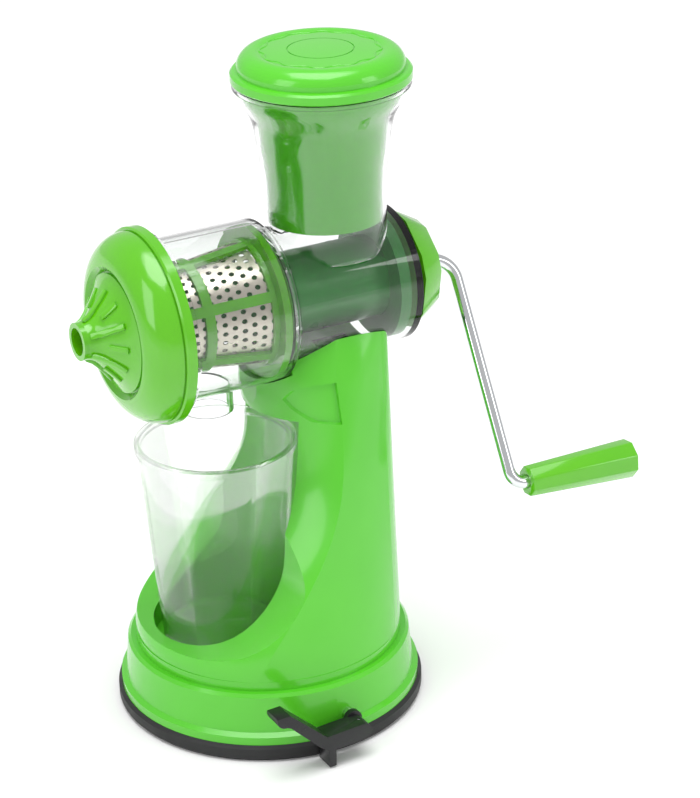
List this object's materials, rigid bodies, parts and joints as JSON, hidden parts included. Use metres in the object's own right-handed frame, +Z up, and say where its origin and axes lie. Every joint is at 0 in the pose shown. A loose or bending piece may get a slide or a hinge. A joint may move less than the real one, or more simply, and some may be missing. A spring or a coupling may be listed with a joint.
{
  "type": "hand juicer",
  "caption": "Hand-cranked screw juicer with a clear hopper and drum, a strainer, a green stand on a suction base, a lift-out glass and a locking lever.",
  "frame": {"origin": "centre of the suction pad's flat underside, on the table", "axes": "+Z up; the screw's axis runs along Y at z = 0.2049, pulp nozzle towards -Y, crank towards +Y; the suction lever is at +X"},
  "size_m": [0.1615, 0.2637, 0.3212],
  "materials": {
    "stand_green": "gloss",
    "cap_green": "gloss",
    "screw_green": "satin",
    "clear_plastic": "clear",
    "tumbler": "clear",
    "perforated_steel": "bright",
    "chrome": "polished",
    "steel": "plated",
    "black_rubber": "matte",
    "black_plastic": "satin",
    "silicone": "matte"
  },
  "bodies": {
    "stand": {"stand_body": "stand_green", "suction_pad": "black_rubber", "clear_housing": "clear_plastic", "housing_screws": "steel"},
    "lever": {"lever": "black_plastic", "cam_rod": "chrome", "lever_pin": "steel", "cam_rod_clip": "steel"},
    "stem": {"suction_stem": "black_plastic"},
    "glass": {"glass": "tumbler"},
    "crank": {"auger": "screw_green", "auger_shaft": "steel", "shaft_seal": "silicone", "crank_knob": "cap_green", "crank_rod": "chrome", "grip_rivet": "steel"},
    "grip": {"grip": "cap_green"},
    "pusher": {"pusher_cup": "stand_green", "pusher_lid": "stand_green"},
    "cap_seal": {"cap_gasket": "silicone"},
    "cap": {"front_cap": "cap_green"},
    "nozzle": {"pulp_nozzle": "cap_green"},
    "strainer": {"strainer_frame": "cap_green", "strainer_mesh": "perforated_steel"}
  },
  "joints": [
    {"name": "crank_spin", "type": "hinge", "parent": "stand", "child": "crank", "pos_m": [0, 0, 0.2049], "axis": [0, 1, 0], "continuous": true},
    {"name": "grip_spin", "type": "hinge", "parent": "crank", "child": "grip", "pos_m": [0.05676, 0.11439, 0.10499], "axis": [0.019, 0.9993, -0.0334], "continuous": true},
    {"name": "lever_turn", "type": "hinge", "parent": "stand", "child": "lever", "pos_m": [0.08, 0.0054, 0.016], "axis": [1, 0, 0], "range_deg": [-90, 0]},
    {"name": "stem_lift", "type": "slide", "parent": "stand", "child": "stem", "axis": [0, 0, 1], "range_m": [0, 0.0021]},
    {"name": "pusher_lift", "type": "slide", "parent": "stand", "child": "pusher", "axis": [0, 0, 1], "range_m": [0, 0.09]},
    {"name": "cap_pull", "type": "slide", "parent": "stand", "child": "cap_seal", "axis": [0, -1, 0], "range_m": [0, 0.13]},
    {"name": "cap_turn", "type": "hinge", "parent": "cap_seal", "child": "cap", "pos_m": [0, -0.07, 0.2049], "axis": [0, 1, 0], "range_deg": [0, 60]},
    {"name": "nozzle_turn", "type": "hinge", "parent": "cap", "child": "nozzle", "pos_m": [0, -0.08, 0.2049], "axis": [0, 1, 0], "range_deg": [0, 270]},
    {"name": "strainer_pull", "type": "slide", "parent": "stand", "child": "strainer", "axis": [0, -1, 0], "range_m": [0, 0.0651]},
    {"name": "glass_lift", "type": "slide", "parent": "stand", "child": "glass", "axis": [0, 0, 1], "range_m": [0, 0.009]}
  ],
  "couplings": [
    {"joint": "stem_lift", "follows": "lever_turn", "m_per_rad": -0.0012732},
    {"joint": "strainer_pull", "follows": "cap_pull", "ratio": 0.5}
  ]
}
